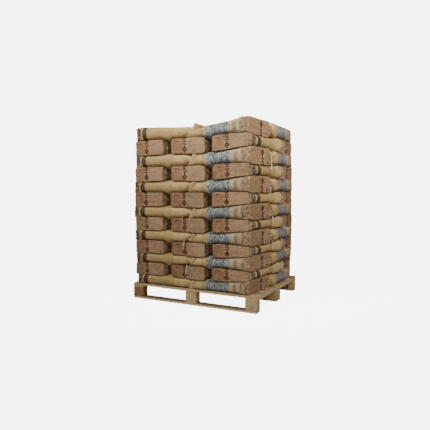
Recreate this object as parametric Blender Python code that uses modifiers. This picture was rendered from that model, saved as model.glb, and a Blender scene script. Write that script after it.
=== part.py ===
"""Pallet of sacks: a four way block pallet with thirteen layers of filled paper sacks.

Metres, +Z up. The origin is on the floor under the middle of the pallet. The 1200 mm side
runs along X, and the side seen broadest in the photograph faces -Y.
"""
import math
import random

import bmesh
import bpy

# pallet
PALLET_LENGTH = 1.200
PALLET_WIDTH = 1.000
RUNNER_HEIGHT = 0.020
BLOCK_HEIGHT = 0.078
STRINGER_HEIGHT = 0.020
DECK_HEIGHT = 0.020
BLOCK_LENGTH = 0.100
OUTER_BLOCK_WIDTH = 0.075
MIDDLE_BLOCK_WIDTH = 0.110
DECK_BOARDS = 7
DECK_BOARD_WIDTH = 0.100
EDGE_BEVEL = 0.0015
TOUCH_GAP = 0.0003

# load
LAYERS = 13
FIRST_LAYER_HEIGHT = 0.0930
LAYER_HEIGHT_STEP = 0.0022
SACK_LENGTH = 0.614
FOLDED_SACK_LENGTH = 0.566
SACK_WIDTH = 0.384
END_FACE_WIDTH = 0.316
CROSSWISE_CENTRES = (0.392, 0.017, -0.376)
FRONT_FACE_Y = -0.496
LOAD_HALF_LENGTH = 0.545
CROSSWISE_BACK_SHIFT = 0.004
LENGTHWISE_BACK_SHIFT = 0.020
ROW_OVERLAP = 0.018
SEAM_THICKNESS = 0.014
SEAM_SPREAD = 0.035
FRONT_JOINT_WAVE = 0.006
CORNER_RISE_LOW = 0.006
CORNER_RISE_HIGH = 0.024
BACK_RISE = 0.010
MID_HEIGHT_SPREAD = 0.014
UNEVENNESS = 0.003
CAGE_FULLNESS = 1.06
CORNER_FIRMNESS = 0.6
CAGE_END_FULLNESS = 1.01

PALLET_HEIGHT = RUNNER_HEIGHT + BLOCK_HEIGHT + STRINGER_HEIGHT + DECK_HEIGHT


def clear_file():
    for collection in list(bpy.data.collections):
        bpy.data.collections.remove(collection)
    for thing in list(bpy.data.objects):
        bpy.data.objects.remove(thing, do_unlink=True)


def new_collection(name):
    collection = bpy.data.collections.new(name)
    bpy.context.scene.collection.children.link(collection)
    return collection


def new_material(name, colour, roughness):
    material = bpy.data.materials.new(name)
    material.use_nodes = True
    shader = material.node_tree.nodes["Principled BSDF"]
    shader.inputs["Base Color"].default_value = (*colour, 1.0)
    shader.inputs["Roughness"].default_value = roughness
    material.diffuse_color = (*colour, 1.0)
    return material


def mesh_object(name, shape, collection, material, parent):
    mesh = bpy.data.meshes.new(name)
    shape.to_mesh(mesh)
    shape.free()
    mesh.materials.append(material)
    thing = bpy.data.objects.new(name, mesh)
    thing.parent = parent
    collection.objects.link(thing)
    return thing


def group_empty(name, collection):
    empty = bpy.data.objects.new(name, None)
    collection.objects.link(empty)
    return empty


def board(name, size, low_corner, collection, material, parent):
    """A sawn piece of the given size, with its edges slightly broken."""
    shape = bmesh.new()
    bmesh.ops.create_cube(shape, size=1.0)
    bmesh.ops.scale(shape, vec=size, verts=shape.verts)
    thing = mesh_object(name, shape, collection, material, parent)
    thing.location = [low + extent / 2 for low, extent in zip(low_corner, size)]
    bevel = thing.modifiers.new("broken edges", "BEVEL")
    bevel.width = EDGE_BEVEL
    bevel.segments = 1
    bevel.limit_method = "ANGLE"
    return thing


def build_pallet(collection, wood, rough_wood):
    pallet = group_empty("pallet", collection)
    half_length = PALLET_LENGTH / 2
    half_width = PALLET_WIDTH / 2
    columns = ((-half_length, "left"), (-BLOCK_LENGTH / 2, "middle"),
               (half_length - BLOCK_LENGTH, "right"))
    rows = ((-half_width, OUTER_BLOCK_WIDTH, "front"),
            (-MIDDLE_BLOCK_WIDTH / 2, MIDDLE_BLOCK_WIDTH, "middle"),
            (half_width - OUTER_BLOCK_WIDTH, OUTER_BLOCK_WIDTH, "back"))
    block_top = RUNNER_HEIGHT + BLOCK_HEIGHT
    stringer_top = block_top + STRINGER_HEIGHT
    for y, width, row in rows:
        board(f"runner_{row}", (PALLET_LENGTH, width, RUNNER_HEIGHT),
              (-half_length, y, 0.0), collection, wood, pallet)
        for x, side in columns:
            board(f"block_{row}_{side}", (BLOCK_LENGTH, width, BLOCK_HEIGHT - TOUCH_GAP),
                  (x, y, RUNNER_HEIGHT + TOUCH_GAP), collection, rough_wood, pallet)
    for x, side in columns:
        board(f"stringer_{side}", (BLOCK_LENGTH, PALLET_WIDTH, STRINGER_HEIGHT - TOUCH_GAP),
              (x, -half_width, block_top + TOUCH_GAP), collection, wood, pallet)
    spacing = (PALLET_WIDTH - DECK_BOARD_WIDTH) / (DECK_BOARDS - 1)
    for number in range(DECK_BOARDS):
        board(f"deck_board_{number + 1}",
              (PALLET_LENGTH, DECK_BOARD_WIDTH, DECK_HEIGHT - TOUCH_GAP),
              (-half_length, -half_width + number * spacing, stringer_top + TOUCH_GAP),
              collection, wood, pallet)


def joint_height(number, x, y):
    """Height at x, y of the joint above layer `number`; joint 0 is the deck.

    The flat bottom ends of the sacks stand fuller than the sides, so the joints lean a
    little to and fro from layer to layer. The load stands higher to the right.
    """
    height = PALLET_HEIGHT + number * FIRST_LAYER_HEIGHT
    height += LAYER_HEIGHT_STEP * number * (number - 1) / 2
    if number == 0:
        return height
    side = x / (PALLET_LENGTH / 2)
    depth = y / (PALLET_WIDTH / 2)
    share = number / LAYERS
    wave = FRONT_JOINT_WAVE if number < LAYERS else 0.0
    if number % 2 == 0:
        wave = -wave
    corner_rise = CORNER_RISE_LOW + (CORNER_RISE_HIGH - CORNER_RISE_LOW) * share ** 1.5
    height += wave * depth
    height += corner_rise * (side + 1) / 2
    return height + BACK_RISE * share ** 2 * (depth + 1) / 2


def sack(name, number, origin, heading, seam, shakes, collection, paper, load):
    """One filled sack from a coarse cage: flat bottom end at the origin, sewn end ahead.

    `seam` is the part of the layer's height at which the sewn end lies.
    """
    full = SACK_WIDTH / 2 * CAGE_FULLNESS + shakes.uniform(0, UNEVENNESS) / 2
    end = END_FACE_WIDTH / 2 * CAGE_END_FULLNESS + shakes.uniform(-1, 1) * UNEVENNESS
    length = FOLDED_SACK_LENGTH if heading[0] else SACK_LENGTH
    layer_height = joint_height(number, 0, 0) - joint_height(number - 1, 0, 0)
    lip = SEAM_THICKNESS / layer_height
    # part of the length: half width, share of it that lies flat, lower and upper part
    stations = {
        0: (end, 0.97, 0.0, 1.0),
        1: (full, 0.88, 0.0, 1.0),
        2: (full, 0.86, 0.0, 1.0),
        3: (full * 0.92, 0.97, seam - lip, seam + lip),
    }
    cuts = (0.14, 0.86)
    shape = bmesh.new()
    bmesh.ops.create_cube(shape, size=1.0)
    bmesh.ops.translate(shape, vec=(0.5, 0.0, 0.5), verts=shape.verts)
    for place, direction in ((cuts[0], "x"), (cuts[1], "x"), (0.5, "z")):
        across = direction == "z"
        bmesh.ops.bisect_plane(
            shape, geom=shape.verts[:] + shape.edges[:] + shape.faces[:], dist=1e-6,
            plane_co=(0, 0, place) if across else (place, 0, 0),
            plane_no=(0, 0, 1) if across else (1, 0, 0))
    crease = shape.edges.layers.float.new("crease_edge")
    for edge in shape.edges:
        edge[crease] = edge_firmness(edge, cuts)
    for vertex in shape.verts:
        along, across, up = vertex.co
        station = sum(along > cut - 0.01 for cut in (*cuts, 1.0))
        half, flat, low, high = stations[station]
        middle = abs(up - 0.5) < 1e-4
        vertex.co.x = along * length
        vertex.co.y = math.copysign(half if middle else half * flat, across)
        ground = (origin[0] + heading[0] * vertex.co.x - heading[1] * vertex.co.y,
                  origin[1] + heading[1] * vertex.co.x + heading[0] * vertex.co.y)
        floor = joint_height(number - 1, *ground) + TOUCH_GAP
        top = joint_height(number, *ground)
        part = (low + high) / 2 if middle else low if up < 0.5 else high
        vertex.co.z = floor + (top - floor) * part
    thing = mesh_object(name, shape, collection, paper, load)
    thing.location = (*origin, 0.0)
    thing.rotation_euler.z = math.atan2(heading[1], heading[0])
    filled = thing.modifiers.new("filled shape", "SUBSURF")
    filled.levels = 1
    filled.render_levels = 1
    return thing


def edge_firmness(edge, cuts):
    """How little a cage edge is rounded: the bottom end's rim most, the mid-height line not."""
    near, far = sorted(vertex.co.x for vertex in edge.verts)
    if all(abs(vertex.co.z - 0.5) < 1e-4 for vertex in edge.verts):
        return 0.0
    if far < 1e-4:
        return 0.9
    if far - near > 1e-4:
        return CORNER_FIRMNESS
    return CORNER_FIRMNESS if far < cuts[1] + 0.01 else 0.5


def layer_sacks(number):
    """Origin and heading of the five sacks of a layer, bottom ends outward."""
    spread = MID_HEIGHT_SPREAD * math.sin(math.pi * (number - 0.5) / LAYERS)
    half = LOAD_HALF_LENGTH - MID_HEIGHT_SPREAD / 2 + spread
    side_row = FRONT_FACE_Y + SACK_WIDTH / 2
    back_row = FRONT_FACE_Y + SACK_WIDTH + SACK_LENGTH - ROW_OVERLAP
    turned = number % 2 == 0
    lengthwise_shift = -LENGTHWISE_BACK_SHIFT if turned else 0.0
    crosswise_shift = 0.0 if turned else CROSSWISE_BACK_SHIFT
    places = [((lengthwise_shift - half, side_row), (1, 0)),
              ((lengthwise_shift + half, side_row), (-1, 0))]
    for step, centre in enumerate(CROSSWISE_CENTRES):
        places.append(((centre + spread * (1 - step / 2) + crosswise_shift, back_row), (0, -1)))
    if turned:
        middle = (FRONT_FACE_Y + back_row) / 2
        places = [((-x, 2 * middle - y), (-dx, -dy)) for (x, y), (dx, dy) in places]
    return places


def build_layer(number, collection, joined, paper, load):
    shakes = random.Random(100 + number)
    sway = shakes.uniform(-1, 1) * UNEVENNESS - 0.010
    pieces = []
    for place, (origin, heading) in enumerate(layer_sacks(number)):
        shift = shakes.uniform(-1, 1) * UNEVENNESS / 3
        inward = shakes.uniform(0, 1) * UNEVENNESS
        origin = (origin[0] + sway + heading[0] * inward + abs(heading[1]) * shift,
                  origin[1] + heading[1] * inward)
        name = f"sack_layer_{number:02d}" if place == 0 else f"sack_{number:02d}_{place + 1}"
        home = collection if place == 0 else joined
        seam = 0.5 + SEAM_SPREAD * (place - 2)
        pieces.append(sack(name, number, origin, heading, seam, shakes, home, paper, load))
    base = pieces[0]
    for other in pieces[1:]:
        other.hide_render = True
        other.display_type = "WIRE"
        join = base.modifiers.new(f"join {other.name}", "BOOLEAN")
        join.operation = "UNION"
        join.solver = "EXACT"
        join.object = other
    return base


def main():
    clear_file()
    collection = new_collection("pallet_of_sacks")
    joined = new_collection("joined_pieces")
    wood = new_material("pallet_wood", (0.42, 0.29, 0.16), 0.75)
    rough_wood = new_material("block_wood", (0.36, 0.24, 0.13), 0.85)
    paper = new_material("kraft_paper", (0.42, 0.29, 0.16), 0.8)
    build_pallet(collection, wood, rough_wood)
    load = group_empty("load", collection)
    for number in range(1, LAYERS + 1):
        build_layer(number, collection, joined, paper, load)


main()
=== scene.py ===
# %% [markdown]
# # A pallet of filled paper sacks
# A wooden block pallet carries thirteen layers of filled paper sacks, five in each layer. Every second
# layer is turned half round, so that the layers lock each other like bricks. The pallet comes from the
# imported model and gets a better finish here. The sacks are modelled again, as soft filled bags.

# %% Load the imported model
import math
import random
import bmesh
import bpy
import numpy as np
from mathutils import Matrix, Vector, noise


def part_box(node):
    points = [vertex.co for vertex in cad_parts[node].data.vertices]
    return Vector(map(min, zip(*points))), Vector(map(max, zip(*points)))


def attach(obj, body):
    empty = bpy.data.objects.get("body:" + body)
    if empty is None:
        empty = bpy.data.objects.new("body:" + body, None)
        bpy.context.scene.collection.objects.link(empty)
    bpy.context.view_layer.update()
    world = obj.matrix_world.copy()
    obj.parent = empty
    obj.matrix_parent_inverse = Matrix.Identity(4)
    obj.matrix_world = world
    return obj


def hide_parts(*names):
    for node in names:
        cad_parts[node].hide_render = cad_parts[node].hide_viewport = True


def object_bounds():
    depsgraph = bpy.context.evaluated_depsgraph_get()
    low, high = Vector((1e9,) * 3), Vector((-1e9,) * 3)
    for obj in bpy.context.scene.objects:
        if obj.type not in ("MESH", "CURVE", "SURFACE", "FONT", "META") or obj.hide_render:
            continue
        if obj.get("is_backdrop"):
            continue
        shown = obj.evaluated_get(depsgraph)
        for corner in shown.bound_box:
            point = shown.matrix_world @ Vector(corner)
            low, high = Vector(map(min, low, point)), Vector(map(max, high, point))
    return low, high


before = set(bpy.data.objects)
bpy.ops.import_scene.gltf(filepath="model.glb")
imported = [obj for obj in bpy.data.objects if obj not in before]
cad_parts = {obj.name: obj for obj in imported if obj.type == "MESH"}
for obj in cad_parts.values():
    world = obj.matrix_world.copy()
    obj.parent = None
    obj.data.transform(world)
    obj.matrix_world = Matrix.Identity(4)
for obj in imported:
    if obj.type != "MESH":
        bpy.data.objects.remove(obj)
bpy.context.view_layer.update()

# %% [markdown]
# ## Camera
# The photograph looks along the front and the right side at once, from a little under the top of the
# load. The place, the turn and the lens below were worked out from the corners of the pallet and the
# joints between the layers. The picture is square, so the sensor width counts both ways.

# %% Camera
CAMERA_PLACE = (1.880, -3.617, 0.934)
CAMERA_TURN = (math.radians(87.3), 0.0, math.radians(27.84))
CAMERA_LENS = 36.44


def new_object(name, data):
    thing = bpy.data.objects.new(name, data)
    bpy.context.scene.collection.objects.link(thing)
    return thing


camera = new_object("camera", bpy.data.cameras.new("camera"))
camera.data.lens = CAMERA_LENS
camera.data.sensor_width = 36.0
camera.location = CAMERA_PLACE
camera.rotation_euler = CAMERA_TURN
bpy.context.scene.camera = camera
print("camera", CAMERA_LENS, "mm lens, height", CAMERA_PLACE[2], "m")

# %% [markdown]
# ## Small helpers for node trees
# A shader is a tree of nodes joined by wires. Here a wire is an object of its own that adds and
# multiplies like a number: each sum puts one more node into the tree. So the recipes further down read
# like sentences, and the drawing of wood or paper can be followed line by line.

# %% Node helpers


def set_inputs(node, **inputs):
    """Wires or sets a node's sockets: by name, with _ for a space, or by number, as n0 or n1."""
    for key, value in inputs.items():
        key = key.replace("_", " ")
        socket = node.inputs[int(key[1:])] if key[0] == "n" and key[1:].isdigit() else node.inputs[key]
        value = getattr(value, "socket", value)
        if isinstance(value, bpy.types.NodeSocket):
            node.id_data.links.new(value, socket)
        else:
            socket.default_value = value


def add_node(tree, kind, settings=None, **inputs):
    """Adds a node. settings are its own properties, inputs are values or outputs for its sockets."""
    node = tree.nodes.new(kind)
    for key, value in (settings or {}).items():
        setattr(node, key, value)
    set_inputs(node, **inputs)
    return node


class Wire:
    """The output of a shader node."""

    def __init__(self, socket):
        self.socket = socket

    def new(self, kind, settings=None, output=0, **inputs):
        """A wire from a new node in the same tree."""
        return Wire(add_node(self.socket.id_data, "ShaderNode" + kind, settings, **inputs).outputs[output])

    def maths(self, operation, *values):
        inputs = {f"n{place}": value for place, value in enumerate(values)}
        return self.new("Math", {"operation": operation}, **inputs)

    def __add__(self, other):
        return self.maths("ADD", self, other)

    def __sub__(self, other):
        return self.maths("SUBTRACT", self, other)

    def __rsub__(self, other):
        return self.maths("SUBTRACT", other, self)

    def __mul__(self, other):
        return self.maths("MULTIPLY", self, other)

    def __abs__(self):
        return self.maths("ABSOLUTE", self)

    __radd__, __rmul__ = __add__, __mul__

    def step_up(self, low, high, start=0.0, end=1.0):
        """0 under low, 1 over high, smooth in between."""
        return self.new("MapRange", {"interpolation_type": "SMOOTHSTEP"}, n0=self, n1=low, n2=high,
                        n3=start, n4=end)

    def band(self, low, high, soft):
        """1 between low and high, with soft edges."""
        return self.step_up(low - soft, low + soft) * self.step_up(high - soft, high + soft, 1.0, 0.0)

    def between(self, first, second):
        """The first colour where this is 0, the second where it is 1."""
        return self.new("Mix", {"data_type": "RGBA"}, 2, n0=self, n6=first, n7=second)

    def painted(self, part, second, blend="MIX"):
        """This colour with a second one laid over it where part is 1."""
        return self.new("Mix", {"data_type": "RGBA", "blend_type": blend}, 2, n0=part, n6=self, n7=second)

    def split(self):
        """The x, y and z of a place."""
        parts = add_node(self.socket.id_data, "ShaderNodeSeparateXYZ", n0=self)
        return [Wire(part) for part in parts.outputs]

    def moved(self, *parts):
        """A place moved by the parts given along x, y and z."""
        away = self.new("CombineXYZ", **{f"n{place}": part for place, part in enumerate(parts)})
        return self.new("VectorMath", {"operation": "ADD"}, n0=self, n1=away)

    def scaled(self, *scale, turn=(0.0, 0.0, 0.0)):
        return self.new("Mapping", n0=self, n2=turn, n3=scale)

    def noise(self, scale, detail=2.0, rough=0.5, distortion=0.0, output=0):
        return self.new("TexNoise", None, output, Vector=self, Scale=scale, Detail=detail,
                        Roughness=rough, Distortion=distortion)

    def bent(self, amount, wander):
        """A place pushed aside by a coloured noise."""
        return self.new("VectorMath", {"operation": "MULTIPLY_ADD"}, n0=wander, n1=(amount,) * 3, n2=self)

    def cells(self, scale=1.0, feature="F1", randomness=1.0):
        """Distance to the middles of irregular cells, or to their edges."""
        return self.new("TexVoronoi", {"feature": feature}, "Distance", Vector=self, Scale=scale,
                        Randomness=randomness)

    def ribs(self, direction):
        """The fine ribs of crepe paper."""
        return self.new("TexWave", {"bands_direction": direction}, "Fac", Vector=self, Scale=180.0,
                        Distortion=2.0)

    def bump(self, strength, distance):
        return self.new("Bump", Strength=strength, Distance=distance, Height=self)


def paint(red, green, blue):
    """A colour given as a screen shows it, 0 to 255, turned into the linear values shaders use."""
    linear = []
    for part in (red / 255, green / 255, blue / 255):
        linear.append(part / 12.92 if part <= 0.04045 else ((part + 0.055) / 1.055) ** 2.4)
    return (*linear, 1.0)


def new_material(name):
    """A material, its shader, and a wire from the coordinates of the object that wears it."""
    material = bpy.data.materials.new(name)
    material.use_nodes = True
    shader = material.node_tree.nodes["Principled BSDF"]
    return material, shader, Wire(add_node(material.node_tree, "ShaderNodeTexCoord").outputs["Object"])


def add_sockets(tree, way, sockets):
    """Gives a tree its outer sockets. Each is (name, kind) or (name, kind, start value)."""
    for title, kind, *start in sockets:
        socket = tree.interface.new_socket(title, in_out=way, socket_type="NodeSocket" + kind)
        if start:
            socket.default_value = start[0]


def new_group(name, inputs, outputs):
    """A shader node group, and a wire from each of its inputs."""
    group = bpy.data.node_groups.new(name, "ShaderNodeTree")
    add_sockets(group, "INPUT", inputs.items())
    add_sockets(group, "OUTPUT", outputs.items())
    start = group.nodes.new("NodeGroupInput")
    return group, [Wire(start.outputs[title]) for title in inputs]


def end_group(group, **outputs):
    set_inputs(group.nodes.new("NodeGroupOutput"), **outputs)
    print("node group:", group.name, "with", len(group.nodes), "nodes")


SURFACE = {"Color": "Color", "Roughness": "Float", "Height": "Float"}
print("helpers ready")

# %% [markdown]
# ## Light and floor
# The photograph shows the load on plain white, with soft light from above and in front. One large
# area light hangs close above, so the load is lighter at its top than at its foot, and each sack is
# lighter on its upper half. A weaker lamp opens the right side, and a wide one beside the camera fills
# the gaps between the sacks. The camera sees a bright sky and a bright floor, but both give the load
# only a little light.

# %% Light and floor
FLOOR_SIZE = 30.0
FLOOR_DROP = 0.001
# each lamp: place, the point it looks at, size in metres, power in watts, spread in degrees
LAMPS = {"key light": ((-0.6, -1.9, 3.3), (0.0, 0.0, 2.32), 2.4, 54.0, 92.0),
         "side light": ((2.6, -0.8, 3.1), (0.3, 0.0, 2.1), 2.0, 48.0, 96.0),
         "fill light": ((1.3, -3.1, 0.75), (0.2, -0.3, 0.45), 1.7, 13.0, 120.0)}
SKY_LIGHT = 0.19
SKY_SEEN = 6.5
WHITE = (1.0, 1.0, 1.0, 1.0)


def square(name, segments, half_size):
    """A flat square, level and with its middle at the origin."""
    mesh = bpy.data.meshes.new(name)
    shape = bmesh.new()
    bmesh.ops.create_grid(shape, x_segments=segments, y_segments=segments, size=half_size)
    shape.to_mesh(mesh)
    shape.free()
    return new_object(name, mesh)


for name, (place, target, size, power, spread) in LAMPS.items():
    lamp = new_object(name, bpy.data.lights.new(name, "AREA"))
    lamp.data.shape = "DISK"
    lamp.data.size = size
    lamp.data.energy = power
    lamp.data.spread = math.radians(spread)
    lamp.location = place
    lamp.rotation_euler = (Vector(target) - Vector(place)).to_track_quat("-Z", "Y").to_euler()

world = bpy.data.worlds.new("studio")
world.use_nodes = True
bpy.context.scene.world = world
sky = world.node_tree
sky.nodes.clear()
sky_lit = add_node(sky, "ShaderNodeBackground", Color=WHITE, Strength=SKY_LIGHT)
sky_seen = add_node(sky, "ShaderNodeBackground", Color=WHITE, Strength=SKY_SEEN)
seen = add_node(sky, "ShaderNodeLightPath").outputs["Is Camera Ray"]
choose = add_node(sky, "ShaderNodeMixShader", n0=seen, n1=sky_lit.outputs[0], n2=sky_seen.outputs[0])
add_node(sky, "ShaderNodeOutputWorld", Surface=choose.outputs[0])

floor = square("floor", 8, FLOOR_SIZE / 2)
floor.location.z = -FLOOR_DROP
floor_paint, shader, room = new_material("pale floor")
seen = room.new("LightPath", None, "Is Camera Ray")
set_inputs(shader, Base_Color=(0.45, 0.45, 0.44, 1.0), Roughness=0.9, Specular_IOR_Level=0.1,
           Emission_Color=WHITE, Emission_Strength=seen * (SKY_SEEN - 0.1))
floor.data.materials.append(floor_paint)
floor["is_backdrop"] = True
print(len(LAMPS), "lamps, a pale sky and a floor of", FLOOR_SIZE, "m")

# %% [markdown]
# ## Sawn wood
# Rough pine has growth rings that were cut lengthwise into long grain lines, darker knots that the
# lines bend round, and end grain on the short faces. One node group draws this along X, and each board
# gets a material of its own with another seed and tone, because no two boards of a pallet match.

# %% Node group: sawn wood
WOOD_INPUTS = {"Place": "Vector", "Seed": "Float", "Light wood": "Color", "Dark wood": "Color",
               "Dirt": "Float", "Knots": "Float"}
sawn_wood, (place, seed, light_wood, dark_wood, dirt, knots) = new_group("sawn wood", WOOD_INPUTS, SURFACE)
place = place.moved(seed, seed, seed)
knot_near = place.scaled(2.1, 8.0, 8.0).cells()
knot_swell = knot_near.step_up(0.42, 0.05) * knots
wander = place.scaled(2.2, 30.0, 30.0).noise(1.0, 3.0, 0.6)
rings = place.new("TexWave", {"wave_type": "BANDS", "bands_direction": "Z", "wave_profile": "SAW"}, "Fac",
                  Vector=place.scaled(0.8, 9.0, 16.0), Scale=1.6, Distortion=knot_swell * 7.0 + 4.5,
                  Detail=3.0, Detail_Scale=1.2)
fibre = place.scaled(16.0, 420.0, 420.0).noise(1.0, 4.0, 0.65)
grain = rings * 0.55 + wander * 0.75
colour = grain.step_up(0.30, 0.98).between(light_wood, dark_wood)
colour = colour.painted(fibre.step_up(0.45, 0.75) * 0.35, paint(112, 82, 50))
colour = colour.painted(knot_near.step_up(0.15, 0.05) * knots, paint(72, 44, 22))
colour = colour.painted(place.noise(7.0, 4.0, 0.62).step_up(0.48, 0.72) * dirt, paint(92, 80, 62))
end_group(sawn_wood, Color=colour, Roughness=fibre * 0.25 + 0.62, Height=fibre * 0.7 + grain * 0.5)

# %% [markdown]
# ## Finishing the pallet
# The grain of a board follows its length, so boards that lie across the pallet turn the pattern by a
# quarter. The blocks are offcuts, darker and with more knots, and show end grain on their short
# faces: there the pattern is squeezed to small rings. The upper faces of the bottom runners, under the
# deck, get a painted shadow of the deck: they are painted dark where the deck shades them.

# %% Pallet finish
BOARD_TONES = ((208, 174, 130), (200, 166, 122), (216, 186, 142), (190, 158, 116))
DARK_BLOCK_TONE = (158, 118, 76)
# painted shadow of the deck on the top faces of the bottom runners: its colour, and how soft its edge is
RUNNER_DECK_SHADOW_PAINT = (84, 66, 46)
DECK_SHADOW_EDGE = 0.001


def wood_finish(name, turned, deck_shadow_above, **look):
    material, shader, room = new_material(name)
    grain_place = room.scaled(1.0, 1.0, 1.0, turn=(0.0, 0.0, math.radians(90))) if turned else room
    wood = add_node(material.node_tree, "ShaderNodeGroup", {"node_tree": sawn_wood}, Place=grain_place,
                    **look)
    colour = Wire(wood.outputs["Color"])
    if deck_shadow_above is not None:
        # painted shade: the top face of a runner is painted dark where the deck shades it
        deck_shadow_mask = room.split()[2].step_up(deck_shadow_above - DECK_SHADOW_EDGE, deck_shadow_above)
        colour = colour.painted(deck_shadow_mask * 0.8, paint(*RUNNER_DECK_SHADOW_PAINT))
    set_inputs(shader, Base_Color=colour, Roughness=wood.outputs["Roughness"], Specular_IOR_Level=0.25,
               Normal=Wire(wood.outputs["Height"]).bump(0.5, 0.0012))
    return material


tones = random.Random(41)
pallet_nodes = [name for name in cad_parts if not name.startswith("sack_layer")]
for number, name in enumerate(sorted(pallet_nodes)):
    light = tones.choice(BOARD_TONES)
    is_block = name.startswith("block")
    if name == "block_front_left":
        light = DARK_BLOCK_TONE
    dark = [part * tones.uniform(0.74, 0.82) for part in light]
    dirt = tones.uniform(0.35, 0.6) if is_block else tones.uniform(0.1, 0.35)
    knots = 1.0 if is_block else tones.uniform(0.3, 0.9)
    finish = wood_finish(f"pine {name.replace('_', ' ')}",
                         turned=name.startswith("stringer") or is_block,
                         deck_shadow_above=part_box(name)[1].z - DECK_SHADOW_EDGE if "runner" in name else None,
                         Seed=number * 3.7, Light_wood=paint(*light), Dark_wood=paint(*dark), Dirt=dirt,
                         Knots=knots)
    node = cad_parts[name]
    node.data.materials.clear()
    node.data.materials.append(finish)
print("finished", len(pallet_nodes), "boards and blocks")

# %% [markdown]
# ## Nails
# Each deck board is nailed down at every stringer, and the runners are nailed into the blocks. The
# heads are the same everywhere, so Geometry Nodes place one short rod on every nail point. The points
# come from the boards' own boxes. The same tree sets the stitches of the sacks further down, with a
# thinner and longer rod.

# %% Rod tree
rod_tree = bpy.data.node_groups.new("small rods", "GeometryNodeTree")
add_sockets(rod_tree, "INPUT", (("Geometry", "Geometry"), ("Radius", "Float", 0.0045),
                                ("Height", "Float", 0.0016), ("Sides", "Int", 10), ("Seed", "Int", 3),
                                ("Finish", "Material")))
add_sockets(rod_tree, "OUTPUT", (("Geometry", "Geometry"),))
rod_in = rod_tree.nodes.new("NodeGroupInput").outputs
rod = add_node(rod_tree, "GeometryNodeMeshCylinder", {"fill_type": "NGON"}, Vertices=rod_in["Sides"],
               Radius=rod_in["Radius"], Depth=rod_in["Height"])
facing = add_node(rod_tree, "GeometryNodeInputNamedAttribute", {"data_type": "FLOAT_VECTOR"}, Name="way")
turn = add_node(rod_tree, "FunctionNodeAlignRotationToVector", {"axis": "Z"}, Vector=facing.outputs[0])
size = add_node(rod_tree, "FunctionNodeRandomValue", {"data_type": "FLOAT"}, n2=0.85, n3=1.12,
                Seed=rod_in["Seed"])
spread = add_node(rod_tree, "GeometryNodeInstanceOnPoints", Points=rod_in["Geometry"],
                  Instance=rod.outputs["Mesh"], Rotation=turn.outputs[0], Scale=size.outputs[1])
real = add_node(rod_tree, "GeometryNodeRealizeInstances", Geometry=spread.outputs[0])
dressed = add_node(rod_tree, "GeometryNodeSetMaterial", Geometry=real.outputs[0], Material=rod_in["Finish"])
add_node(rod_tree, "NodeGroupOutput", n0=dressed.outputs[0])
print("rod tree with", len(rod_tree.nodes), "nodes")

# %% Rods on points


def rods_on(name, spots, ways, values):
    """One rod on every spot, each along its own way, as a plain object that rides on the part."""
    mesh = bpy.data.meshes.new(name + " spots")
    mesh.from_pydata([tuple(spot) for spot in spots], [], [])
    way = mesh.attributes.new("way", "FLOAT_VECTOR", "POINT")
    way.data.foreach_set("vector", np.array(ways, np.float32).ravel())
    base = new_object(name + " base", mesh)
    grower = base.modifiers.new("grow", "NODES")
    grower.node_group = rod_tree
    for item in rod_tree.interface.items_tree:
        if item.in_out == "INPUT" and item.name in values:
            grower[item.identifier] = values[item.name]
    evaluated = base.evaluated_get(bpy.context.evaluated_depsgraph_get())
    grown = bpy.data.meshes.new_from_object(evaluated)
    grown.name = name
    bpy.data.objects.remove(base)
    piece = new_object(name, grown)
    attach(piece, "root")
    return piece


NAIL_INSET = 0.022
NAIL_PROUD = 0.0006
nail_steel, shader, room = new_material("nail steel")
rust = room.noise(260.0, 4.0)
set_inputs(shader, Base_Color=rust.step_up(0.4, 0.65).between(paint(120, 112, 104), paint(96, 58, 34)),
           Roughness=rust * 0.4 + 0.35, Metallic=0.6)
SIDES = ("left", "middle", "right")
nail_spots, nail_ways = [], []
for board_number in range(1, 8):
    low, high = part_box(f"deck_board_{board_number}")
    for side in SIDES:
        across_low, across_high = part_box(f"stringer_{side}")
        for x in (across_low.x + NAIL_INSET, across_high.x - NAIL_INSET):
            for y in (low.y + NAIL_INSET, high.y - NAIL_INSET):
                nail_spots.append((x, y, high.z))
                nail_ways.append((0.0, 0.0, 1.0))
for row in ("front", "middle", "back"):
    low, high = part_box(f"runner_{row}")
    for side in SIDES:
        block_low, block_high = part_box(f"block_{row}_{side}")
        for x in (block_low.x + NAIL_INSET, block_high.x - NAIL_INSET):
            nail_spots.append((x, (low.y + high.y) / 2, low.z + NAIL_PROUD))
            nail_ways.append((0.0, 0.0, -1.0))
nails = rods_on("nail_heads", nail_spots, nail_ways, {"Finish": nail_steel})
print(len(nail_spots), "nail heads,", len(nails.data.polygons), "faces")

# %% [markdown]
# ## The shape of one sack before it is filled tight
# A paper sack is a tube with a folded, pasted bottom and a top that is gathered and sewn shut. The
# bottom end stands up like the end of a box, and the top end runs out into a thin flange. The mesh
# follows that: rings of points round the tube, a grid over the bottom end and one row of faces that
# shuts the flange. Each ring is a rounded rectangle, given by half its width, half its height and how
# square it is. The x axis runs from the bottom end to the sewn end.

# %% Sack grid
SACK_LENGTH = 0.614
FOLDED_LENGTH = 0.566
SACK_THICKNESS = 0.105
SACK_HALF_WIDTH = 0.190
END_HALF_WIDTH = 0.158
SEAM_HALF_WIDTH = 0.186
TAPER_START, FLANGE_START = 0.78, 0.972
SLACK_HEIGHT, GATHERED_HEIGHT = 0.985, 0.58
FLANGE_PRESSED = 0.88
SQUARENESS, SQUARE_END_ONLY, TAPER_ROUNDS = 14, 10, 1.5
PLEAT_DEPTH, PLEAT_WAVES = 0.004, (150, 260)
RIM_RIPPLE, RIPPLES_AROUND = 0.0012, 5
HELD_RINGS = 9
ACROSS, UP, RINGS = 36, 12, 54
AROUND = 2 * (ACROSS + UP)


def smooth_step(low, high, value):
    part = np.clip((value - low) / (high - low), 0.0, 1.0)
    return part * part * (3 - 2 * part)


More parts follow.
